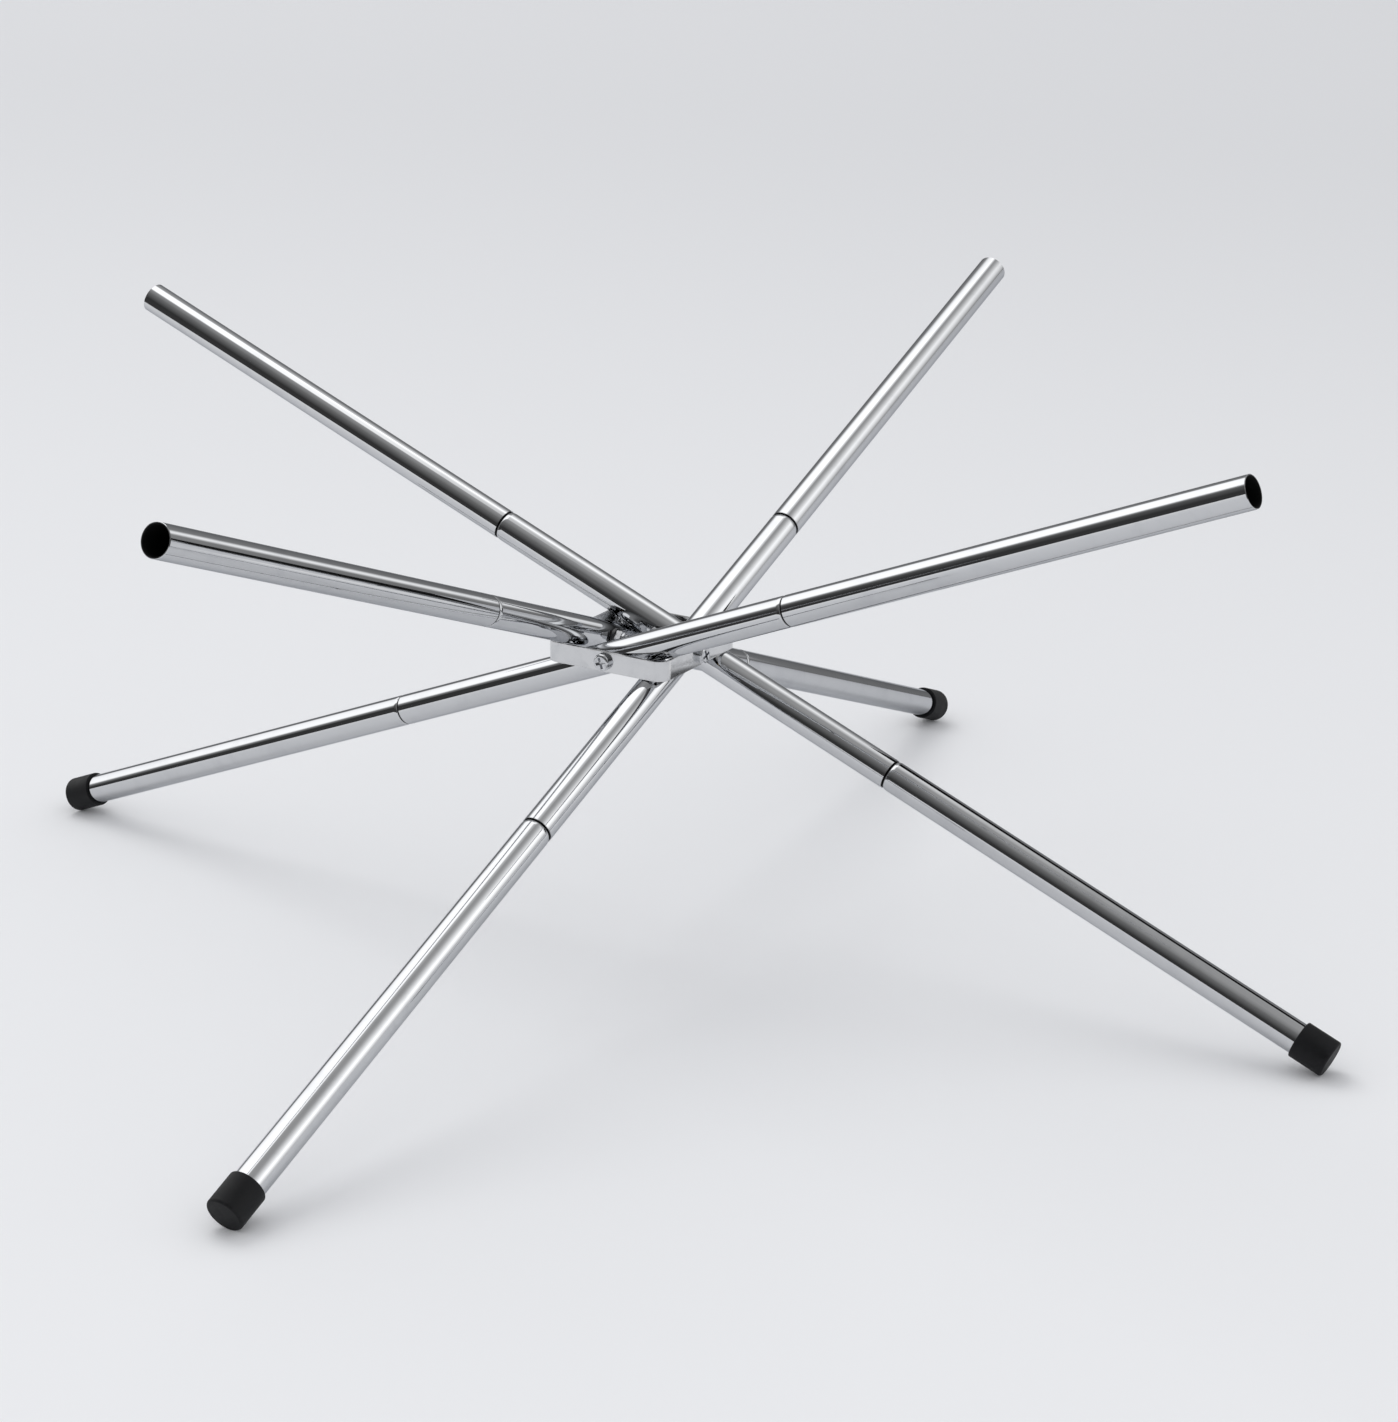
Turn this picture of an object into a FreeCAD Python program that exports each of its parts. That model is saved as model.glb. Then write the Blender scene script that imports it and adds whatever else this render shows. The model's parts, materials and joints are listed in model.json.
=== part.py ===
"""Folding four-leg tube stand: a square sheet-metal hub and four identical crossed legs.

Each leg is a straight tube in three plug-together sections, with a rubber cap on its foot and an
open mouth at its top.  It pivots on a screw through one side of the hub, and crosses over its
neighbour, so the four legs prop each other up when the stand is open.

Frame: millimetres, +Z up, origin on the ground under the middle of the hub.  Leg 1 rises towards +X,
and legs 2 to 4 follow it at quarter turns.  Along a leg, distances are counted from its pivot,
positive towards the mouth.  Across a leg, they are counted from the tube's axis outwards to the hub.
"""
import FreeCAD, Part
import Sketcher
import math
import os
import re

LEGS = (1, 2, 3, 4)
QUARTER_TURN = 90

# Driving dimensions: alias, value, what it is.  Lengths in millimetres, angles in degrees.
SIZES = [
    ("tilt_angle", 22, "angle of an open leg to the ground"),
    ("leg_offset", 24.3, "distance of a leg's plane from the middle of the hub"),
    ("tube_diameter", 16, "outside diameter of every tube section"),
    ("tube_wall", 1, "wall of the tube"),
    ("section_length", 251.6, "length of one tube section"),
    ("mouth_ease", 0.175, "how much wider than the tube's bore the open mouth is sized"),
    ("mouth_depth", 60, "depth of that sized mouth"),
    ("mouth_break", 0.2, "broken edge round the mouth"),
    ("shoulder_angle", 40, "how far a section's swaged upper end leans in"),
    ("shoulder_cone", 2, "length of that swaged end, measured from its bend"),
    ("shoulder_round", 5, "outside radius of the bend into the swaged end"),
    ("lip_radius", 5.6, "radius of the hole that the swaged end leaves"),
    ("seat_gap", 0.05, "play between a section and the shoulder it sits on"),
    ("socket_ease", 0.05, "how much wider than the tube's bore a section's lower end is sized"),
    ("socket_depth", 32, "depth of that sized socket"),
    ("foot_reach", 400, "pivot to the underside of the foot cap, along the leg"),
    ("cap_diameter", 18.8, "outside diameter of the foot cap"),
    ("cap_length", 18, "length of the foot cap"),
    ("cap_floor", 7.5, "thickness of the foot cap's floor"),
    ("cap_edge", 1.2, "rounding of the foot cap's lower edge"),
    ("cap_rim", 0.5, "rounding of the foot cap's upper edge"),
    ("spigot_root", 22, "length of a spigot pressed into its own tube"),
    ("spigot_reach", 30, "length of a spigot above the shoulder"),
    ("spigot_step", 0.1, "height above the shoulder where a spigot widens again"),
    ("spigot_wall", 2.5, "wall of the spigot"),
    ("spigot_lead", 1, "chamfer on the spigot's tip"),
    ("hub_side", 71, "outside width of the square hub"),
    ("hub_height", 10.4, "height of the hub's sheet"),
    ("hub_sheet", 1.5, "thickness of the hub's sheet"),
    ("hub_corner", 7, "outside radius of the hub's corners"),
    ("leg_relief", 0.3, "play where a leg crosses the hub's edge"),
    ("screw_radius", 2.5, "radius of the pivot screw's shank"),
    ("screw_hole", 2.65, "radius of the screw hole in the hub"),
    ("screw_tip", 15.7, "tube axis to the tip of the pivot screw"),
    ("screw_lead", 0.4, "chamfer on the screw's tip"),
    ("head_radius", 4.5, "radius of the screw's head"),
    ("head_height", 3, "height of the screw's head"),
    ("head_round", 1.3, "rounding of the screw's head"),
    ("recess_arm", 2.9, "half length of the cross recess"),
    ("recess_slot", 0.7, "half width of the cross recess"),
    ("recess_depth", 1.7, "depth of the cross recess"),
    ("recess_turn", 20, "how far the cross recess is turned"),
    ("bush_radius", 3.5, "outside radius of the pivot bush"),
    ("pivot_fit", 0.05, "radial play of the screw in the bush"),
    ("washer_radius", 5, "outside radius of a pivot washer"),
    ("washer_hole", 2.6, "radius of the hole in a pivot washer"),
    ("washer_thickness", 1.5, "thickness of a pivot washer"),
    ("side_play", 0.2, "play between a leg and its washers"),
    ("nut_flats", 8, "width of the lock nut across its flats"),
    ("nut_height", 3.6, "height of the lock nut's hexagon"),
    ("nut_collar", 3.6, "radius of the lock nut's round collar"),
    ("nut_total", 5, "height of the lock nut with its collar"),
    ("nut_turn", 15, "how far the lock nut is turned"),
]

# Sizes worked out from the driving dimensions.
DERIVED = {
    "tube_radius": "tube_diameter / 2",
    "tube_bore": "tube_radius - tube_wall",
    "socket_bore": "tube_bore + socket_ease",
    "mouth_bore": "tube_bore + mouth_ease",
    "cap_radius": "cap_diameter / 2",
    "bend_reach": "shoulder_round * tan(shoulder_angle / 2)",
    "bend_height": "section_length - shoulder_cone",
    "inner_bend_height": "bend_height - tube_wall * tan(shoulder_angle / 2)",
    "seat_depth": "shoulder_cone + bend_reach"
                  " - sqrt(shoulder_round^2 - (shoulder_round - tube_wall)^2)",
    "section_step": "section_length - seat_depth + seat_gap",
    "lower_start": "cap_floor - foot_reach",
    "middle_start": "lower_start + section_step",
    "upper_start": "middle_start + section_step",
    "hub_outside": "hub_side / 2 - leg_offset",
    "hub_inside": "hub_outside - hub_sheet",
    "washer_inner_face": "tube_radius + side_play",
    "nut_face": "washer_inner_face + washer_thickness",
    "bush_bore": "screw_radius + pivot_fit",
    "shank_length": "hub_outside + screw_tip",
    "pivot_height": "(foot_reach - cap_edge) * sin(tilt_angle)"
                    " + (cap_radius - cap_edge) * cos(tilt_angle) + cap_edge",
}

doc = FreeCAD.newDocument("tube_stand")
subparts = []


def build_sheet():
    """Put every driving dimension in the spreadsheet, as a plain number with an alias."""
    sheet = doc.addObject("Spreadsheet::Sheet", "Dimensions")
    for row, (alias, value, meaning) in enumerate(SIZES, start=1):
        sheet.set(f"A{row}", alias)
        sheet.set(f"B{row}", str(value))
        sheet.set(f"C{row}", meaning)
        sheet.setAlias(f"B{row}", alias)
    doc.recompute()
    return sheet


def formula(text):
    """Turn names of dimensions in text into an expression that FreeCAD reads from the sheet."""
    aliases = {alias for alias, _, _ in SIZES}

    def replace(match):
        word = match.group(0)
        if word in DERIVED:
            return "(" + formula(DERIVED[word]) + ")"
        return "Dimensions." + word if word in aliases else word

    return re.sub(r"[A-Za-z_][A-Za-z_0-9]*", replace, text)


def value(text):
    """The number that an expression of dimensions gives now."""
    result = sheet.evalExpression(formula(text))
    return float(getattr(result, "Value", result))


def bind(feature, **properties):
    """Bind properties of a feature to expressions of dimensions."""
    for name, text in properties.items():
        feature.setExpression(name, formula(text))


# --- Placements ---------------------------------------------------------------------------------

def hub_frame(leg):
    """Middle of the hub, turned to the leg."""
    turn = QUARTER_TURN * (leg - 1)
    return f"placement(vector(0; 0; pivot_height); rotation(vector(0; 0; 1); {turn}))"


def along_leg(leg, distance):
    """Local Z runs up the leg's axis, from a distance along it."""
    tilt = "placement(vector(0; -leg_offset; 0); rotation(vector(0; 1; 0); 90 - tilt_angle))"
    shift = f"placement(vector(0; 0; {distance}); rotation(vector(0; 0; 1); 0))"
    return " * ".join((hub_frame(leg), tilt, shift))


def across_leg(leg, distance):
    """Local Z runs out through the hub's side along the pivot, from a distance across the leg."""
    aim = f"placement(vector(0; -leg_offset - ({distance}); 0); rotation(vector(1; 0; 0); 90))"
    return " * ".join((hub_frame(leg), aim))


# --- Sketches and features ----------------------------------------------------------------------

def new_body(label, placement):
    """A sub-part of its own, in its place."""
    body = doc.addObject("PartDesign::Body", label)
    body.Label = label
    bind(body, Placement=placement)
    subparts.append(body)
    return body


def new_sketch(body, plane):
    """A sketch on one of the body's own origin planes."""
    sketch = body.newObject("Sketcher::SketchObject", body.Label + "_sketch")
    support = [item for item in body.Origin.OriginFeatures if item.Role == plane][0]
    sketch.AttachmentSupport = [(support, "")]
    sketch.MapMode = "FlatFace"
    return sketch


def constrain(sketch, kind, references, text, number):
    """Add a dimension to a sketch and bind it to an expression."""
    index = sketch.addConstraint(Sketcher.Constraint(kind, *references, number))
    sketch.setExpression(f"Constraints[{index}]", formula(text))


def locate(sketch, line, point, axis, text):
    """Fix one coordinate of a line's end, measured from the origin."""
    number = value(text)
    ends = [-1, 1, line, point]
    if number < 0:
        ends = [line, point, -1, 1]
        text, number = f"-({text})", -number
    if number == 0:
        other_axis = -2 if axis == "X" else -1
        sketch.addConstraint(Sketcher.Constraint("PointOnObject", line, point, other_axis))
    else:
        constrain(sketch, "Distance" + axis, ends, text, number)


def draw_polygon(sketch, corners):
    """A closed outline of straight lines, with every corner bound to its two expressions."""
    places = [FreeCAD.Vector(value(x), value(y), 0) for x, y in corners]
    count = len(corners)
    for line in range(count):
        sketch.addGeometry(Part.LineSegment(places[line], places[(line + 1) % count]), False)
    for line in range(count):
        sketch.addConstraint(Sketcher.Constraint("Coincident", line, 2, (line + 1) % count, 1))
    for line, (x, y) in enumerate(corners):
        locate(sketch, line, 1, "X", x)
        locate(sketch, line, 1, "Y", y)


def draw_circle(sketch, radius):
    """A circle round the sketch's origin."""
    number = value(radius)
    circle = sketch.addGeometry(Part.Circle(FreeCAD.Vector(), FreeCAD.Vector(0, 0, 1), number), False)
    sketch.addConstraint(Sketcher.Constraint("Coincident", circle, 3, -1, 1))
    constrain(sketch, "Radius", [circle], radius, number)


def revolve(body, corners):
    """Turn a half outline of (radius, height) corners round the body's Z axis."""
    sketch = new_sketch(body, "XZ_Plane")
    draw_polygon(sketch, corners)
    feature = body.newObject("PartDesign::Revolution", body.Label + "_turned")
    feature.Profile = sketch
    feature.ReferenceAxis = (sketch, ["V_Axis"])
    feature.Angle = 360
    doc.recompute()
    return feature


def pad(body, sketch, length, symmetric=False):
    """Raise a sketch into a solid."""
    feature = body.newObject("PartDesign::Pad", body.Label + "_pad")
    feature.Profile = sketch
    if symmetric:
        feature.SideType = "Symmetric"
    bind(feature, Length=length)
    doc.recompute()
    return feature


def pocket(body, sketch, depth, name, symmetric=False):
    """Cut a sketch out of the body, and make sure that it does cut."""
    before = body.Shape.Volume
    feature = body.newObject("PartDesign::Pocket", f"{body.Label}_{name}")
    feature.Profile = sketch
    if symmetric:
        feature.SideType = "Symmetric"
    bind(feature, Length=depth)
    doc.recompute()
    if feature.Shape.Volume > before - 1e-6:
        raise RuntimeError(f"{feature.Name} cuts nothing")
    return feature


def round_edges(body, feature, edges, radius, name):
    """Round some of a feature's edges, given as numbers."""
    rounding = body.newObject("PartDesign::Fillet", f"{body.Label}_{name}")
    rounding.Base = (feature, [f"Edge{number}" for number in edges])
    bind(rounding, Radius=radius)
    doc.recompute()
    return rounding


def ring_edges(feature, radius, height):
    """Numbers of the circular edges round Z with this radius, at this height in the body."""
    found = []
    for number, edge in enumerate(feature.Shape.Edges, start=1):
        if not isinstance(edge.Curve, Part.Circle):
            continue
        same_radius = math.isclose(edge.Curve.Radius, value(radius), abs_tol=1e-4)
        same_height = math.isclose(edge.Curve.Center.z, value(height), abs_tol=1e-4)
        if same_radius and same_height:
            found.append(number)
    return found


def upright_edges(feature, half_width):
    """Numbers of the upright straight edges at this distance from the middle both ways."""
    found = []
    for number, edge in enumerate(feature.Shape.Edges, start=1):
        start, end = edge.Vertexes[0].Point, edge.Vertexes[-1].Point
        upright = math.hypot(start.x - end.x, start.y - end.y) < 1e-6
        if upright and math.isclose(abs(start.x), value(half_width), abs_tol=1e-4):
            found.append(number)
    return found


# --- The hub ------------------------------------------------------------------------------------

def square(half_width):
    """Corners of a square round the middle."""
    low = f"-({half_width})"
    return [(low, low), (half_width, low), (half_width, half_width), (low, half_width)]


def bend_corners(body, feature, half_width, radius, name):
    """Round the four upright edges of a square."""
    return round_edges(body, feature, upright_edges(feature, half_width), radius, name)


def cut_screw_holes(body):
    """One pivot hole in the middle of each side."""
    for plane in ("XZ_Plane", "YZ_Plane"):
        hole = new_sketch(body, plane)
        draw_circle(hole, "screw_hole")
        pocket(body, hole, "2 * hub_side", "holes_" + plane[:2], symmetric=True)


def cut_leg_reliefs(body):
    """Shallow saddles where an open leg crosses the upper and lower edges of the sheet."""
    relief = body.newObject("PartDesign::SubtractiveCylinder", body.Label + "_relief")
    lying = ("placement(vector(0; -leg_offset; 0); rotation(vector(0; 1; 0); 90 - tilt_angle))"
             " * placement(vector(0; 0; -hub_side); rotation(vector(0; 0; 1); 0))")
    bind(relief, Radius="tube_radius + leg_relief", Height="2 * hub_side", Placement=lying)
    doc.recompute()
    pattern = body.newObject("PartDesign::PolarPattern", body.Label + "_reliefs")
    pattern.Originals = [relief]
    pattern.Axis = ([item for item in body.Origin.OriginFeatures if item.Role == "Z_Axis"][0], [""])
    pattern.Angle = 360
    pattern.Occurrences = len(LEGS)
    body.Tip = pattern
    doc.recompute()


def build_hub_band():
    """A band of sheet bent into a square with round corners, standing on edge."""
    body = new_body("hub_band", hub_frame(LEGS[0]))
    outside, inside = "hub_side / 2", "hub_side / 2 - hub_sheet"
    outline = new_sketch(body, "XY_Plane")
    draw_polygon(outline, square(outside))
    pad(body, outline, "hub_height", symmetric=True)
    opening = new_sketch(body, "XY_Plane")
    draw_polygon(opening, square(inside))
    band = pocket(body, opening, "2 * hub_height", "opening", symmetric=True)
    band = bend_corners(body, band, inside, "hub_corner - hub_sheet", "inner_corners")
    bend_corners(body, band, outside, "hub_corner", "outer_corners")
    cut_screw_holes(body)
    cut_leg_reliefs(body)


# --- The leg's tube sections --------------------------------------------------------------------

LOWER_END = [("tube_bore", "0"), ("tube_radius", "0")]
SOCKET_END = [("tube_bore", "socket_depth"), ("socket_bore", "socket_depth"),
              ("socket_bore", "0"), ("tube_radius", "0")]


def shouldered_tube(body, lower_end):
    """A section whose upper end is swaged inwards to a lip."""
    tube = revolve(body, lower_end + [
        ("tube_radius", "bend_height"),
        ("tube_radius - shoulder_cone * tan(shoulder_angle)", "section_length"),
        ("lip_radius", "section_length"),
        ("lip_radius", "inner_bend_height + (tube_bore - lip_radius) / tan(shoulder_angle)"),
        ("tube_bore", "inner_bend_height"),
    ])
    inner = ring_edges(tube, "tube_bore", "inner_bend_height")
    hollow = round_edges(body, tube, inner, "shoulder_round - tube_wall", "inner_bend")
    outer = ring_edges(hollow, "tube_radius", "bend_height")
    round_edges(body, hollow, outer, "shoulder_round", "outer_bend")


def build_lower_tube(leg):
    """The lowest section: its cut end stands in the foot cap."""
    shouldered_tube(new_body(f"lower_tube_{leg}", along_leg(leg, "lower_start")), LOWER_END)


def build_middle_tube(leg):
    """The section that pivots in the hub, with a cross hole for the bush."""
    body = new_body(f"middle_tube_{leg}", along_leg(leg, "middle_start"))
    shouldered_tube(body, SOCKET_END)
    hole = new_sketch(body, "XZ_Plane")
    bind(hole, **{"AttachmentOffset.Base.y": "-middle_start"})
    draw_circle(hole, "bush_radius")
    pocket(body, hole, "2 * tube_diameter", "pivot_hole", symmetric=True)


def build_upper_tube(leg):
    """The highest section, cut square at both ends, with an open mouth sized to take a plug."""
    body = new_body(f"upper_tube_{leg}", along_leg(leg, "upper_start"))
    revolve(body, SOCKET_END + [
        ("tube_radius", "section_length - mouth_break"),
        ("tube_radius - mouth_break", "section_length"),
        ("mouth_bore + mouth_break", "section_length"),
        ("mouth_bore", "section_length - mouth_break"),
        ("mouth_bore", "section_length - mouth_depth"),
        ("tube_bore", "section_length - mouth_depth"),
    ])


def build_spigot(name, leg, tube_start):
    """A sleeve held in a section's swaged end, reaching up into the next section."""
    body = new_body(f"{name}_{leg}", along_leg(leg, f"{tube_start} + section_length"))
    bore = "tube_bore - spigot_wall"
    neck = "-shoulder_cone - bend_reach"
    revolve(body, [
        (bore, f"{neck} - spigot_root"),
        ("tube_bore", f"{neck} - spigot_root"),
        ("tube_bore", neck),
        ("lip_radius", neck),
        ("lip_radius", "spigot_step"),
        ("tube_bore", "spigot_step"),
        ("tube_bore", "spigot_reach - spigot_lead"),
        ("tube_bore - spigot_lead", "spigot_reach"),
        (bore, "spigot_reach"),
    ])


def build_foot_cap(leg):
    """A rubber cup pushed over the tube's lower end."""
    body = new_body(f"foot_cap_{leg}", along_leg(leg, "-foot_reach"))
    cup = revolve(body, [
        ("0", "0"),
        ("cap_radius", "0"),
        ("cap_radius", "cap_length"),
        ("tube_radius", "cap_length"),
        ("tube_radius", "cap_floor"),
        ("0", "cap_floor"),
    ])
    floor = round_edges(body, cup, ring_edges(cup, "cap_radius", "0"), "cap_edge", "lower_edge")
    rim = ring_edges(floor, "cap_radius", "cap_length")
    round_edges(body, floor, rim, "cap_rim", "upper_edge")


# --- The leg's pivot ----------------------------------------------------------------------------

def ring(body, inner, outer, length):
    """A plain ring or sleeve standing on its end."""
    revolve(body, [(inner, "0"), (outer, "0"), (outer, length), (inner, length)])


def build_pivot_bush(leg):
    """A sleeve through the tube, which turns on the screw."""
    body = new_body(f"pivot_bush_{leg}", across_leg(leg, "-tube_radius"))
    ring(body, "bush_bore", "bush_radius", "tube_diameter")


def build_washers(leg):
    """One washer between the leg and the hub, and one between the leg and the nut."""
    outer = new_body(f"outer_washer_{leg}", across_leg(leg, "hub_inside - washer_thickness"))
    ring(outer, "washer_hole", "washer_radius", "washer_thickness")
    inner = new_body(f"inner_washer_{leg}", across_leg(leg, "-nut_face"))
    ring(inner, "washer_hole", "washer_radius", "washer_thickness")


def turned_point(x, y, turn):
    """A point turned round the origin, as two expressions."""
    return (f"({x}) * cos({turn}) - ({y}) * sin({turn})",
            f"({x}) * sin({turn}) + ({y}) * cos({turn})")


def build_pivot_screw(leg):
    """A pan-head screw with a cross recess, through the hub's side and the leg."""
    body = new_body(f"pivot_screw_{leg}", across_leg(leg, "-screw_tip"))
    top = "shank_length + head_height"
    turned = revolve(body, [
        ("0", "0"),
        ("screw_radius - screw_lead", "0"),
        ("screw_radius", "screw_lead"),
        ("screw_radius", "shank_length"),
        ("head_radius", "shank_length"),
        ("head_radius", top),
        ("0", top),
    ])
    round_edges(body, turned, ring_edges(turned, "head_radius", top), "head_round", "head_edge")
    arm, slot = "recess_arm", "recess_slot"
    quarter = [(arm, f"-{slot}"), (arm, slot), (slot, slot)]
    corners = [turned_point(x, y, f"recess_turn + {QUARTER_TURN * arm_number}")
               for arm_number in range(4) for x, y in quarter]
    recess = new_sketch(body, "XY_Plane")
    bind(recess, **{"AttachmentOffset.Base.z": top})
    draw_polygon(recess, corners)
    pocket(body, recess, "recess_depth", "recess")


def build_lock_nut(leg):
    """A hexagon nut with a round collar, on the screw's end inside the hub."""
    body = new_body(f"lock_nut_{leg}", across_leg(leg, "-nut_face - nut_total"))
    ring(body, "screw_radius", "nut_collar", "nut_total")
    corner = "nut_flats / 2 / cos(30)"
    hexagon = new_sketch(body, "XY_Plane")
    bind(hexagon, **{"AttachmentOffset.Base.z": "nut_total - nut_height"})
    draw_polygon(hexagon, [turned_point(corner, "0", f"nut_turn + {60 * side}") for side in range(6)])
    draw_circle(hexagon, "screw_radius")
    pad(body, hexagon, "nut_height")


# --- The whole stand ----------------------------------------------------------------------------

def check_and_export():
    """Stop at any failed object, then write each sub-part to its own file."""
    doc.recompute()
    for item in doc.Objects:
        if "Invalid" in item.State or "Error" in item.State:
            raise RuntimeError(f"{item.Name} failed: {item.State}")
    os.makedirs("parts", exist_ok=True)
    for part in subparts:
        if part.Shape.isNull() or not part.Shape.isValid() or len(part.Shape.Solids) != 1:
            raise RuntimeError(f"{part.Label} is not one valid solid")
        part.Shape.exportStep(f"parts/{part.Label}.step")


sheet = build_sheet()
build_hub_band()
for leg_number in LEGS:
    build_foot_cap(leg_number)
    build_lower_tube(leg_number)
    build_spigot("lower_spigot", leg_number, "lower_start")
    build_middle_tube(leg_number)
    build_spigot("upper_spigot", leg_number, "middle_start")
    build_upper_tube(leg_number)
    build_pivot_bush(leg_number)
    build_washers(leg_number)
    build_pivot_screw(leg_number)
    build_lock_nut(leg_number)
check_and_export()
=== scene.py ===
import json
import math

import bpy
from mathutils import Matrix, Quaternion, Vector

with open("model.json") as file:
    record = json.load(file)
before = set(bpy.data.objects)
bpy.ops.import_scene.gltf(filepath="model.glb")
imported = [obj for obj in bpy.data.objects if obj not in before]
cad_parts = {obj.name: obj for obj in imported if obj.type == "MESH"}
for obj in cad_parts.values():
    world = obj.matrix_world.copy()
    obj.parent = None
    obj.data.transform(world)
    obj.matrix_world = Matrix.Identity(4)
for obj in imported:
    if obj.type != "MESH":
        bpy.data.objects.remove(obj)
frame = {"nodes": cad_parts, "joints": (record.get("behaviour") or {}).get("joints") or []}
nodes = frame["nodes"]
joints = {joint["name"]: joint for joint in frame["joints"]}
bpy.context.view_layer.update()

LEGS = (1, 2, 3, 4)
MM = 0.001
PIVOT_HEIGHT = joints["leg_fold_1"]["pos_m"][2]
ROOM_LIGHT = (0.772, 0.778, 0.800)
# Radii in millimetres, inside the tube's wall, between which its shading changes from bore to plating.
WALL_CHANGE = (7.55, 7.75)
# Heights in millimetres from the hub's middle, between which its plating turns into cut edge.
HUB_EDGE = (4.2, 5.2)


def leg_frame(leg):
    """Pivot point, direction up the tube, and direction out through the hub's side."""
    hinge = joints[f"leg_fold_{leg}"]
    along = Vector(joints[f"upper_pull_{leg}"]["axis"]).normalized()
    return Vector(hinge["pos_m"]), along, Vector(hinge["axis"]).normalized()


# --- Shader helpers -----------------------------------------------------------------------------

class Shader:
    """A material's node tree, with short calls for the nodes used here."""

    def __init__(self, name):
        self.material = bpy.data.materials.new(name)
        self.material.use_nodes = True
        self.tree = self.material.node_tree
        self.tree.nodes.clear()
        self.output = self.add("ShaderNodeOutputMaterial")
        self.surface = self.add("ShaderNodeBsdfPrincipled")
        self.tree.links.new(self.surface.outputs["BSDF"], self.output.inputs["Surface"])
        self.place = self.add("ShaderNodeTexCoord").outputs["Object"]

    def add(self, kind, **settings):
        node = self.tree.nodes.new(kind)
        for key, setting in settings.items():
            setattr(node, key, setting)
        return node

    def feed(self, socket, source):
        """Link a socket to another one, or set it to a number, vector or colour."""
        if isinstance(source, bpy.types.NodeSocket):
            self.tree.links.new(source, socket)
        else:
            socket.default_value = source

    def math(self, operation, first, second=0.0, third=0.0):
        node = self.add("ShaderNodeMath", operation=operation)
        for socket, source in zip(node.inputs, (first, second, third)):
            self.feed(socket, source)
        return node.outputs["Value"]

    def vector(self, operation, first, second=None, output="Vector"):
        node = self.add("ShaderNodeVectorMath", operation=operation)
        self.feed(node.inputs[0], first)
        if second is not None:
            self.feed(node.inputs[1], second)
        return node.outputs[output]

    def scaled(self, place, scale):
        """Coordinates multiplied by a number for each axis."""
        return self.vector("MULTIPLY", place, scale)

    def noise(self, place, scale, detail=3.0, roughness=0.55, distortion=0.0):
        node = self.add("ShaderNodeTexNoise")
        self.feed(node.inputs["Vector"], place)
        node.inputs["Scale"].default_value = scale
        node.inputs["Detail"].default_value = detail
        node.inputs["Roughness"].default_value = roughness
        node.inputs["Distortion"].default_value = distortion
        return node.outputs["Fac"]

    def spots(self, place, scale):
        node = self.add("ShaderNodeTexVoronoi")
        self.feed(node.inputs["Vector"], place)
        node.inputs["Scale"].default_value = scale
        return node.outputs["Distance"]

    def remap(self, source, low, high, to_low=0.0, to_high=1.0):
        """Smoothly carry a number from one range to another, held at both ends."""
        node = self.add("ShaderNodeMapRange", interpolation_type="SMOOTHSTEP")
        for socket, value in zip(node.inputs, (source, low, high, to_low, to_high)):
            self.feed(socket, value)
        return node.outputs["Result"]

    def blend(self, factor, first, second):
        node = self.add("ShaderNodeMix", data_type="RGBA")
        sockets = [s for s in node.inputs if s.enabled]
        for socket, source in zip(sockets, (factor, first, second)):
            self.feed(socket, source)
        return [s for s in node.outputs if s.enabled][0]

    def bump(self, height, distance, strength=1.0, below=None):
        node = self.add("ShaderNodeBump")
        node.inputs["Strength"].default_value = strength
        node.inputs["Distance"].default_value = distance
        self.feed(node.inputs["Height"], height)
        if below is not None:
            self.feed(node.inputs["Normal"], below)
        return node.outputs["Normal"]

    def finish(self, **inputs):
        """Feed the surface's own sockets, named with underscores for spaces."""
        for name, source in inputs.items():
            self.feed(self.surface.inputs[name.replace("_", " ")], source)
        return self.material


def leg_coordinates(shader, leg):
    """Coordinates in a leg's own frame: across, across and along the tube, from the pivot, in metres."""
    pivot, along, out = leg_frame(leg)
    offset = shader.vector("SUBTRACT", shader.place, tuple(pivot))
    side = along.cross(out)
    parts = [shader.vector("DOT_PRODUCT", offset, tuple(axis), "Value") for axis in (out, side, along)]
    joined = shader.add("ShaderNodeCombineXYZ")
    for socket, part in zip(joined.inputs, parts):
        shader.feed(socket, part)
    return joined.outputs["Vector"], parts


def radius_of(shader, parts):
    """Distance from the tube's axis, in millimetres."""
    squared = shader.math("ADD", shader.math("MULTIPLY", parts[0], parts[0]),
                          shader.math("MULTIPLY", parts[1], parts[1]))
    return shader.math("MULTIPLY", shader.math("SQRT", squared), 1 / MM)


def near(shader, number, centre, reach):
    """1 at a centre, falling smoothly to 0 a reach away."""
    gap = shader.math("ABSOLUTE", shader.math("SUBTRACT", number, centre))
    return shader.remap(gap, 0.0, reach, 1.0, 0.0)


def scratches(shader, place, seed):
    """Thin scratches in crossing directions, from 0 to 1."""
    found = None
    for turn, scale in ((seed, 520.0), (seed + 1.9, 410.0)):
        node = shader.add("ShaderNodeMapping")
        shader.feed(node.inputs["Vector"], place)
        node.inputs["Rotation"].default_value = (turn, 0.6 * turn, 0.3 * turn)
        node.inputs["Scale"].default_value = (1.0, 0.035, 0.035)
        line = shader.remap(shader.noise(node.outputs["Vector"], scale, 2.0), 0.70, 0.76)
        found = line if found is None else shader.math("MAXIMUM", found, line)
    return found


# --- Materials ----------------------------------------------------------------------------------

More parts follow.
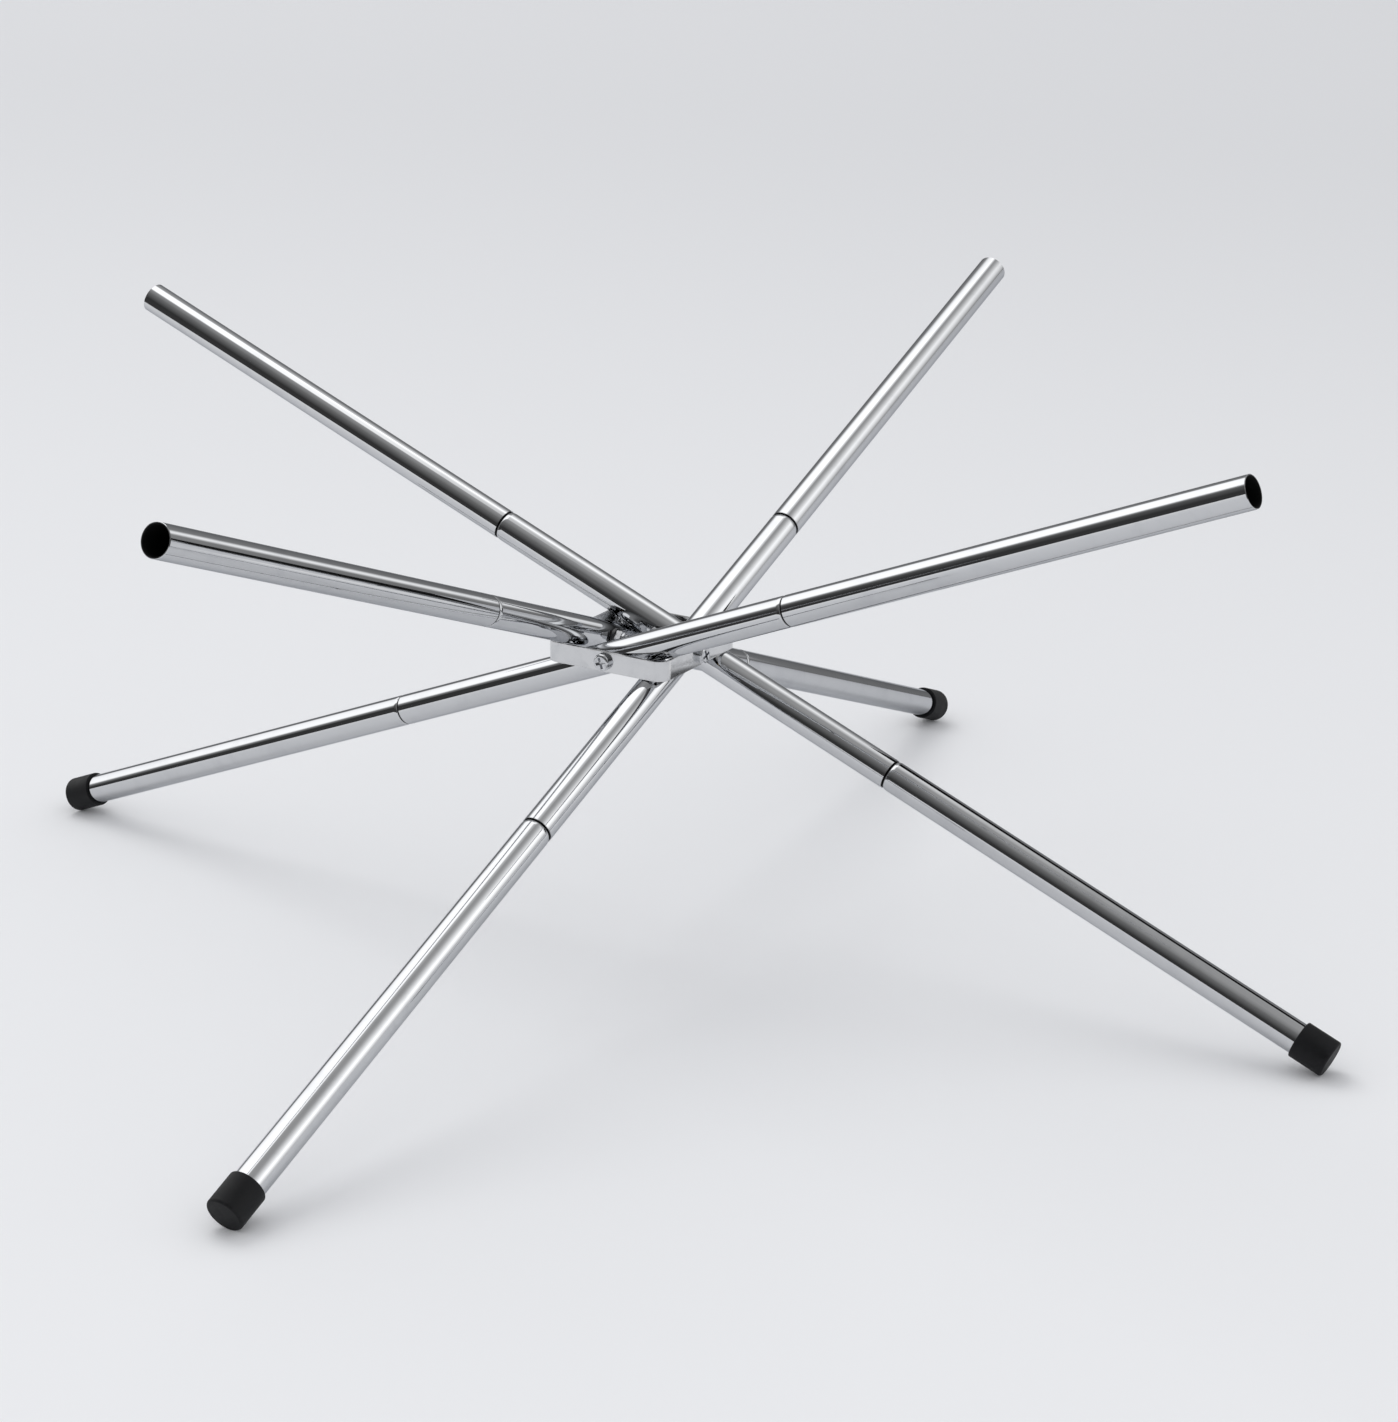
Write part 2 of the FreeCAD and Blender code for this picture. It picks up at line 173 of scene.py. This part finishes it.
def tube_chrome(leg, seams, mouth, seam_shade_and_dirt_amount):
    """Polished chrome tube: drawing lines, haze, fine scratches, duller ends and seams, a dark seam ring of
    painted shade with some dirt, and painted shade in the bore.
    """
    s = Shader(f"tube_chrome_leg_{leg}")
    place, parts = leg_coordinates(s, leg)
    along = s.math("MULTIPLY", parts[2], 1 / MM)
    bore = s.remap(radius_of(s, parts), *WALL_CHANGE, 1.0, 0.0)

    lines = s.noise(s.scaled(place, (1.0, 1.0, 0.004)), 2600.0, 4.0)
    waves = s.noise(s.scaled(place, (1.0, 1.0, 0.12)), 90.0, 2.0)
    haze = s.remap(s.noise(place, 55.0, 5.0, 0.62, 0.4), 0.46, 0.72)
    scratch = scratches(s, place, 0.7 + leg)
    handled = near(s, along, mouth, 26.0)
    # Painted shade with some dirt: a near-black ring at each seam, standing in for shade in the gap between
    # sections.
    seam_shade_and_dirt = None
    for seam in seams:
        ring = near(s, along, seam, 1.0)
        seam_shade_and_dirt = ring if seam_shade_and_dirt is None else s.math("MAXIMUM", seam_shade_and_dirt, ring)
        handled = s.math("MAXIMUM", handled, near(s, along, seam, 14.0))

    plate = s.blend(haze, (0.600, 0.608, 0.622, 1), (0.560, 0.568, 0.585, 1))
    plate = s.blend(s.math("MULTIPLY", scratch, 0.35), plate, (0.70, 0.705, 0.71, 1))
    # The seam ring's painted shade and dirt darken the plating here.
    plate = s.blend(s.math("MULTIPLY", seam_shade_and_dirt, seam_shade_and_dirt_amount), plate, (0.030, 0.030, 0.032, 1))
    # Painted shade: the bore is coloured near-black and mottled, standing in for the shade deep inside the
    # tube.
    bore_shade_mottle = s.remap(s.noise(place, 320.0, 5.0), 0.40, 0.66)
    inside = s.blend(bore_shade_mottle, (0.0012, 0.0012, 0.0013, 1), (0.0035, 0.0030, 0.0028, 1))
    colour = s.blend(bore, plate, inside)

    rough = s.math("MULTIPLY_ADD", haze, 0.035, 0.022)
    rough = s.math("MULTIPLY_ADD", lines, 0.022, rough)
    rough = s.math("MULTIPLY_ADD", handled, 0.03, rough)
    rough = s.math("MULTIPLY_ADD", scratch, 0.10, rough)
    rough = s.math("MULTIPLY_ADD", seam_shade_and_dirt, 0.6 * seam_shade_and_dirt_amount, rough)
    rough = s.math("MAXIMUM", rough, s.math("MULTIPLY", bore, 0.75))

    normal = s.bump(lines, 0.0000003)
    normal = s.bump(waves, 0.000003, below=normal)
    normal = s.bump(scratch, -0.000002, below=normal)
    return s.finish(Base_Color=colour, Metallic=s.math("SUBTRACT", 1.0, bore),
                    Roughness=rough, Normal=normal,
                    Specular_Tint=(0.55, 0.56, 0.58, 1))


def sheet_chrome():
    """Chrome over bent sheet: rolling marks, soft waves, scratches, and duller, worn cut edges."""
    s = Shader("hub_chrome_plate")
    middle = s.vector("SUBTRACT", s.place, (0.0, 0.0, PIVOT_HEIGHT))
    split = s.add("ShaderNodeSeparateXYZ")
    s.feed(split.inputs[0], middle)
    height = s.math("MULTIPLY", s.math("ABSOLUTE", split.outputs["Z"]), 1 / MM)
    edge = s.remap(height, *HUB_EDGE)

    rolling = s.noise(s.scaled(middle, (1.0, 1.0, 0.05)), 1500.0, 4.0)
    waves = s.noise(middle, 60.0, 2.0)
    haze = s.remap(s.noise(middle, 85.0, 5.0, 0.6, 0.3), 0.42, 0.70)
    scratch = scratches(s, middle, 2.3)
    worn = s.math("MULTIPLY", edge, s.remap(s.noise(middle, 420.0, 4.0), 0.42, 0.62))

    plate = s.blend(haze, (0.640, 0.645, 0.655, 1), (0.585, 0.592, 0.605, 1))
    plate = s.blend(s.math("MULTIPLY", scratch, 0.4), plate, (0.72, 0.72, 0.725, 1))
    plate = s.blend(s.math("MULTIPLY", worn, 0.45), plate, (0.47, 0.465, 0.455, 1))

    rough = s.math("MULTIPLY_ADD", haze, 0.07, 0.10)
    rough = s.math("MULTIPLY_ADD", rolling, 0.05, rough)
    rough = s.math("MULTIPLY_ADD", scratch, 0.10, rough)
    rough = s.math("MULTIPLY_ADD", edge, 0.12, rough)

    normal = s.bump(rolling, 0.0000016)
    normal = s.bump(waves, 0.000012, below=normal)
    normal = s.bump(scratch, -0.000003, below=normal)
    return s.finish(Base_Color=plate, Metallic=1.0, Roughness=rough, Normal=normal)


def cap_rubber(leg, foot):
    """Moulded black rubber: fine grain, flow clouds, dust, and a lower edge that is lighter in patches."""
    s = Shader(f"cap_rubber_leg_{leg}")
    place, parts = leg_coordinates(s, leg)
    height = s.math("SUBTRACT", s.math("MULTIPLY", parts[2], 1 / MM), foot)
    radius = radius_of(s, parts)

    grain = s.noise(place, 3400.0, 4.0, 0.65)
    pits = s.remap(s.spots(place, 1500.0), 0.05, 0.40, 1.0, 0.0)
    clouds = s.remap(s.noise(place, 150.0, 5.0, 0.6), 0.35, 0.70)
    # Lighter in patches round the lower edge.
    rim = s.math("MULTIPLY", s.remap(radius, 8.5, 9.3), s.remap(height, 2.2, 0.3))
    pale_patches = s.math("MULTIPLY", rim, s.remap(s.noise(place, 700.0, 5.0), 0.38, 0.66))
    dust = s.math("MULTIPLY", s.remap(s.noise(place, 900.0, 6.0, 0.7), 0.50, 0.74), 0.5)

    colour = s.blend(clouds, (0.0050, 0.0053, 0.0062, 1), (0.0085, 0.0089, 0.0102, 1))
    colour = s.blend(s.math("MULTIPLY", dust, 0.18), colour, (0.034, 0.034, 0.036, 1))
    colour = s.blend(s.math("MULTIPLY", pale_patches, 0.4), colour, (0.026, 0.026, 0.028, 1))

    rough = s.math("MULTIPLY_ADD", clouds, 0.12, 0.55)
    rough = s.math("MULTIPLY_ADD", pale_patches, 0.20, rough)

    normal = s.bump(grain, 0.00004, 0.6)
    normal = s.bump(pits, -0.00003, 0.5, below=normal)
    return s.finish(Base_Color=colour, Roughness=rough, Normal=normal, Specular_IOR_Level=0.22)


def zinc_steel():
    """Bright zinc on the screws and nuts: clouds of haze, fine speckle, small dents and scratches."""
    s = Shader("zinc_plated_steel")
    speckle = s.noise(s.place, 2400.0, 4.0)
    haze = s.remap(s.noise(s.place, 420.0, 5.0, 0.6), 0.38, 0.68)
    dent = s.remap(s.spots(s.place, 900.0), 0.04, 0.30, 1.0, 0.0)
    scratch = scratches(s, s.place, 4.1)

    colour = s.blend(haze, (0.62, 0.63, 0.65, 1), (0.50, 0.505, 0.52, 1))
    colour = s.blend(s.math("MULTIPLY", scratch, 0.5), colour, (0.70, 0.70, 0.70, 1))
    rough = s.math("MULTIPLY_ADD", haze, 0.14, 0.13)
    rough = s.math("MULTIPLY_ADD", speckle, 0.06, rough)
    normal = s.bump(speckle, 0.000006)
    normal = s.bump(dent, -0.000012, 0.6, below=normal)
    return s.finish(Base_Color=colour, Metallic=1.0, Roughness=rough, Normal=normal)


def turned_steel():
    """Turned steel spigots: fine tool marks and an oily stain."""
    s = Shader("turned_spigot_steel")
    marks = s.noise(s.place, 1900.0, 3.0)
    stain = s.remap(s.noise(s.place, 130.0, 5.0, 0.6, 0.5), 0.40, 0.68)
    colour = s.blend(stain, (0.42, 0.425, 0.435, 1), (0.27, 0.265, 0.26, 1))
    rough = s.math("MULTIPLY_ADD", stain, 0.16, 0.24)
    rough = s.math("MULTIPLY_ADD", marks, 0.08, rough)
    normal = s.bump(marks, 0.000005)
    return s.finish(Base_Color=colour, Metallic=1.0, Roughness=rough, Normal=normal)


def nylon():
    """Black nylon washers: waxy, with flow marks and pale rubbed patches."""
    s = Shader("washer_black_nylon")
    flow = s.remap(s.noise(s.place, 500.0, 4.0, 0.6), 0.35, 0.70)
    pale_patches = s.remap(s.noise(s.place, 1400.0, 5.0), 0.56, 0.72)
    colour = s.blend(flow, (0.020, 0.020, 0.022, 1), (0.034, 0.034, 0.036, 1))
    colour = s.blend(s.math("MULTIPLY", pale_patches, 0.35), colour, (0.10, 0.10, 0.10, 1))
    rough = s.math("MULTIPLY_ADD", flow, 0.15, 0.38)
    return s.finish(Base_Color=colour, Roughness=rough,
                    Normal=s.bump(s.noise(s.place, 2600.0), 0.000012))


def brass():
    """Plain turned brass for the pivot bushes, slightly tarnished."""
    s = Shader("bush_turned_brass")
    tarnish = s.remap(s.noise(s.place, 450.0, 5.0, 0.6), 0.36, 0.68)
    marks = s.noise(s.place, 2200.0, 3.0)
    colour = s.blend(tarnish, (0.60, 0.44, 0.20, 1), (0.36, 0.25, 0.12, 1))
    rough = s.math("MULTIPLY_ADD", tarnish, 0.18, 0.22)
    return s.finish(Base_Color=colour, Metallic=1.0, Roughness=rough,
                    Normal=s.bump(marks, 0.000006))


def use(node, material):
    """Give a CAD node its material."""
    item = nodes[node]
    if not item.material_slots:
        item.data.materials.append(material)
    for slot in item.material_slots:
        slot.material = material


def ends_along(leg, node):
    """Lowest and highest place of a node along its leg, from the pivot, in metres."""
    pivot, along, _ = leg_frame(leg)
    places = [(vertex.co - pivot).dot(along) for vertex in nodes[node].data.vertices]
    return min(places), max(places)


zinc, steel, washer, bush = zinc_steel(), turned_steel(), nylon(), brass()
use("hub_band", sheet_chrome())
for leg in LEGS:
    foot = ends_along(leg, f"foot_cap_{leg}")[0] / MM
    seams = [ends_along(leg, f"{part}_tube_{leg}")[0] / MM for part in ("middle", "upper")]
    mouth = ends_along(leg, f"upper_tube_{leg}")[1] / MM
    # The painted shade and dirt at the seams is strong on leg 2 and faint on the other legs.
    chrome = tube_chrome(leg, seams, mouth, 0.16 if leg == 2 else 0.02)
    for part in ("lower_tube", "middle_tube", "upper_tube"):
        use(f"{part}_{leg}", chrome)
    for part in ("lower_spigot", "upper_spigot"):
        use(f"{part}_{leg}", steel)
    for part in ("pivot_screw", "lock_nut"):
        use(f"{part}_{leg}", zinc)
    for part in ("outer_washer", "inner_washer"):
        use(f"{part}_{leg}", washer)
    use(f"pivot_bush_{leg}", bush)
    use(f"foot_cap_{leg}", cap_rubber(leg, foot))


# --- Stage --------------------------------------------------------------------------------------

def stage_mesh(name, corners):
    """A flat stage piece through four corners."""
    mesh = bpy.data.meshes.new(name)
    mesh.from_pydata(corners, [], [(0, 1, 2, 3)])
    piece = bpy.data.objects.new(name, mesh)
    bpy.context.scene.collection.objects.link(piece)
    return piece


def studio_floor():
    """A plain pale floor with painted shade, a little darker away from the camera, that fades into the
    plain light behind it.

    In the chrome it ends at one side, and glows at another side and in one round pool.
    """
    half = 30.0
    corners = [(-half, -half, 0), (half, -half, 0), (half, half, 0), (-half, half, 0)]
    floor = stage_mesh("studio_floor", corners)
    s = Shader("studio_floor_paint")
    tone = s.noise(s.place, 1.6, 3.0)
    away = s.vector("DOT_PRODUCT", s.place, tuple(direction(122, 0) + 0.3 * direction(32, 0)), "Value")
    colour = s.blend(tone, (0.886, 0.891, 0.898, 1), (0.896, 0.901, 0.908, 1))
    # Painted shade: the colour darkens away from the camera, in place of light falling off across the
    # floor.
    colour = s.blend(s.remap(away, -0.9, 2.85), colour, (0.690, 0.695, 0.705, 1))
    paint = s.finish(Base_Color=colour, Roughness=0.9, Specular_IOR_Level=0.15)
    side = s.vector("DOT_PRODUCT", s.place, (1.0, 0.0, 0.0), "Value")
    ended = s.remap(side, -0.88, -0.98)
    near_end = s.remap(s.vector("DOT_PRODUCT", s.place, (-0.8, -0.6, 0.0), "Value"), 0.45, 1.1, 0.0, 0.55)
    pool = s.remap(s.vector("DISTANCE", s.place, (0.44, 0.35, 0.0), "Value"), 0.05, 0.17, 0.9, 0.0)
    glow, haze = s.add("ShaderNodeEmission"), s.add("ShaderNodeEmission")
    glow.inputs["Color"].default_value = (1.08, 1.08, 1.08, 1)
    haze.inputs["Color"].default_value = (*ROOM_LIGHT, 1)
    distant = s.add("ShaderNodeMixShader")
    s.feed(distant.inputs[0], s.remap(s.vector("LENGTH", s.place, output="Value"), 4.5, 16.0))
    s.feed(distant.inputs[1], s.surface.outputs["BSDF"])
    s.feed(distant.inputs[2], haze.outputs[0])
    reflected = s.add("ShaderNodeLightPath").outputs["Is Glossy Ray"]
    lit, ending = s.add("ShaderNodeMixShader"), s.add("ShaderNodeMixShader")
    s.feed(lit.inputs[0], s.math("MULTIPLY", s.math("MAXIMUM", near_end, pool), reflected))
    s.feed(lit.inputs[1], distant.outputs[0])
    s.feed(lit.inputs[2], glow.outputs[0])
    s.feed(ending.inputs[0], s.math("MULTIPLY", ended, reflected))
    s.feed(ending.inputs[1], lit.outputs[0])
    s.feed(ending.inputs[2], s.add("ShaderNodeBsdfTransparent").outputs[0])
    s.feed(s.output.inputs["Surface"], ending.outputs[0])
    floor.data.materials.append(paint)
    return floor


def black_flag():
    """A black flag that only shows in the chrome: the dark line along leg 4."""
    near_end, far_end = (0.12, 0.105), (0.50, 0.364)
    corners = [(*near_end, 0.15), (*far_end, 0.147), (*far_end, 0.36), (*near_end, 0.222)]
    flag = stage_mesh("black_flag", corners)
    s = Shader("black_flag_cloth")
    weave = s.noise(s.place, 900.0, 4.0)
    s.finish(Base_Color=s.blend(weave, (0.004, 0.004, 0.004, 1), (0.009, 0.009, 0.009, 1)),
             Roughness=0.9, Specular_IOR_Level=0.1)
    flag.data.materials.append(s.material)
    for ray in ("camera", "diffuse", "transmission", "volume_scatter", "shadow"):
        setattr(flag, "visible_" + ray, False)


def direction(azimuth, elevation):
    """Unit vector towards an azimuth and elevation in degrees."""
    a, e = math.radians(azimuth), math.radians(elevation)
    return Vector((math.cos(a) * math.cos(e), math.sin(a) * math.cos(e), math.sin(e)))


def soft_lamp(name, azimuth, elevation, distance, size, power):
    """A round soft light aimed at the hub, which the chrome and the camera do not see."""
    data = bpy.data.lights.new(name, "AREA")
    data.shape = "DISK"
    data.size = size
    data.energy = power
    lamp = bpy.data.objects.new(name, data)
    bpy.context.scene.collection.objects.link(lamp)
    aim = direction(azimuth, elevation)
    lamp.location = Vector((0, 0, PIVOT_HEIGHT)) + aim * distance
    lamp.rotation_euler = aim.to_track_quat("Z", "Y").to_euler()
    lamp.visible_glossy = False
    lamp.visible_camera = False


class Sky:
    """The studio round the stand: what the chrome reflects, and the plain light that falls on the floor."""

    def __init__(self):
        self.world = bpy.data.worlds.new("studio")
        bpy.context.scene.world = self.world
        self.world.use_nodes = True
        self.tree = self.world.node_tree
        self.tree.nodes.clear()
        self.aim = self.node("ShaderNodeTexCoord").outputs["Generated"]

    def node(self, kind, **settings):
        made = self.tree.nodes.new(kind)
        for key, setting in settings.items():
            setattr(made, key, setting)
        return made

    def feed(self, socket, source):
        if isinstance(source, bpy.types.NodeSocket):
            self.tree.links.new(source, socket)
        else:
            socket.default_value = source

    def math(self, operation, first, second=0.0, third=0.0):
        made = self.node("ShaderNodeMath", operation=operation)
        for socket, source in zip(made.inputs, (first, second, third)):
            self.feed(socket, source)
        return made.outputs["Value"]

    def dot(self, axis):
        made = self.node("ShaderNodeVectorMath", operation="DOT_PRODUCT")
        self.feed(made.inputs[0], self.aim)
        made.inputs[1].default_value = tuple(axis)
        return made.outputs["Value"]

    def ramp(self, source, stops):
        """Piecewise linear brightness from (position, value) stops, positions between 0 and 1."""
        made = self.node("ShaderNodeValToRGB")
        made.color_ramp.interpolation = "LINEAR"
        elements = made.color_ramp.elements
        while len(elements) < len(stops):
            elements.new(0.5)
        for element, (position, value) in zip(elements, stops):
            element.position = position
            element.color = (value, value, value, 1)
        self.feed(made.inputs["Fac"], source)
        return made.outputs["Color"]

    def mix(self, kind, factor, first, second):
        made = self.node("ShaderNodeMix", data_type="RGBA", blend_type=kind)
        ports = [s for s in made.inputs if s.enabled]
        for socket, source in zip(ports, (factor, first, second)):
            self.feed(socket, source)
        return [s for s in made.outputs if s.enabled][0]

    def step(self, source, low, high):
        made = self.node("ShaderNodeMapRange", interpolation_type="SMOOTHSTEP")
        for socket, value in zip(made.inputs, (source, low, high, 0.0, 1.0)):
            self.feed(socket, value)
        return made.outputs["Result"]

    def panel(self, azimuth, elevation, roll, half, soft):
        """A soft-edged rectangle in a direction: half sizes and edge softness are tangents, both ways."""
        centre = direction(azimuth, elevation)
        across = Vector((-math.sin(math.radians(azimuth)), math.cos(math.radians(azimuth)), 0))
        across.rotate(Quaternion(centre, math.radians(roll)))
        upward = centre.cross(across)
        facing = self.dot(centre)
        safe = self.math("MAXIMUM", facing, 0.02)
        inside = self.step(facing, 0.02, 0.10)
        for axis, reach, edge in ((across, half[0], soft[0]), (upward, half[1], soft[1])):
            place = self.math("ABSOLUTE", self.math("DIVIDE", self.dot(axis), safe))
            inside = self.math("MULTIPLY", inside, self.step(place, reach + edge, reach - edge))
        return inside


def studio_world():
    sky = Sky()
    height = sky.math("MULTIPLY_ADD", sky.dot((0, 0, 1)), 0.5, 0.5)
    front = sky.ramp(height, [(0.5, 0.05), (0.62, 0.045), (0.75, 0.12), (0.88, 0.21), (1.0, 0.44)])
    back = sky.ramp(height, [(0.5, 0.25), (0.62, 0.31), (0.75, 0.38), (0.88, 0.47), (1.0, 0.44)])
    behind = sky.step(sky.dot(direction(107, 0)), -0.30, -0.09)
    room = sky.mix("MIX", behind, front, back)
    ground = sky.math("MULTIPLY", sky.step(sky.dot((0, 0, 1)), 0.0, -0.03),
                      sky.step(sky.dot(direction(40, 0)), -0.25, -0.15))
    room = sky.mix("MIX", ground, room, (0.6, 0.6, 0.6, 1))

    tall_softbox = sky.panel(172, 41, 12, (0.45, 1.0), (0.11, 0.18))
    wide_softbox = sky.panel(25, 21, 41, (0.36, 0.14), (0.80, 0.70))
    overhead_strip = sky.panel(95, 59, -78, (0.12, 0.10), (0.46, 0.095))
    small_card = sky.panel(80, 13, 29, (0.11, 0.10), (0.11, 0.03))
    lights = [(1.28, tall_softbox), (2.95, wide_softbox), (1.6, overhead_strip), (1.05, small_card)]
    seen = room
    for strength, shape in lights:
        seen = sky.mix("ADD", 1.0, seen, sky.math("MULTIPLY", shape, strength))

    reflected = sky.node("ShaderNodeBackground")
    sky.feed(reflected.inputs["Color"], seen)
    plain = sky.node("ShaderNodeBackground")
    plain.inputs["Color"].default_value = (*ROOM_LIGHT, 1)
    path = sky.node("ShaderNodeLightPath")
    chosen = sky.node("ShaderNodeMixShader")
    sky.feed(chosen.inputs[0], path.outputs["Is Glossy Ray"])
    sky.feed(chosen.inputs[1], plain.outputs[0])
    sky.feed(chosen.inputs[2], reflected.outputs[0])
    output = sky.node("ShaderNodeOutputWorld")
    sky.feed(output.inputs["Surface"], chosen.outputs[0])


def studio_camera():
    """Looks at the hub's height, over the floor, with a long lens."""
    azimuth, elevation, distance = math.radians(31.8), math.radians(19.6), 1.654
    right_shift, up_shift = 0.029, -0.0347
    back = Vector((math.sin(azimuth) * math.cos(elevation), -math.cos(azimuth) * math.cos(elevation),
                   math.sin(elevation)))
    right = Vector((math.cos(azimuth), math.sin(azimuth), 0))
    up = back.cross(right)
    data = bpy.data.cameras.new("camera")
    data.lens = 82.4
    data.sensor_width = 36.0
    data.clip_end = 200.0
    camera = bpy.data.objects.new("camera", data)
    bpy.context.scene.collection.objects.link(camera)
    place = Vector((0, 0, PIVOT_HEIGHT)) + back * distance + right * right_shift + up * up_shift
    turned = Matrix((right, up, back)).transposed().to_4x4()
    camera.matrix_world = Matrix.Translation(place) @ turned
    bpy.context.scene.camera = camera


studio_floor()
soft_lamp("key_softbox", azimuth=152, elevation=52, distance=9.0, size=6.0, power=190.0)
black_flag()
studio_world()
studio_camera()
bpy.context.scene.view_settings.view_transform = "Standard"
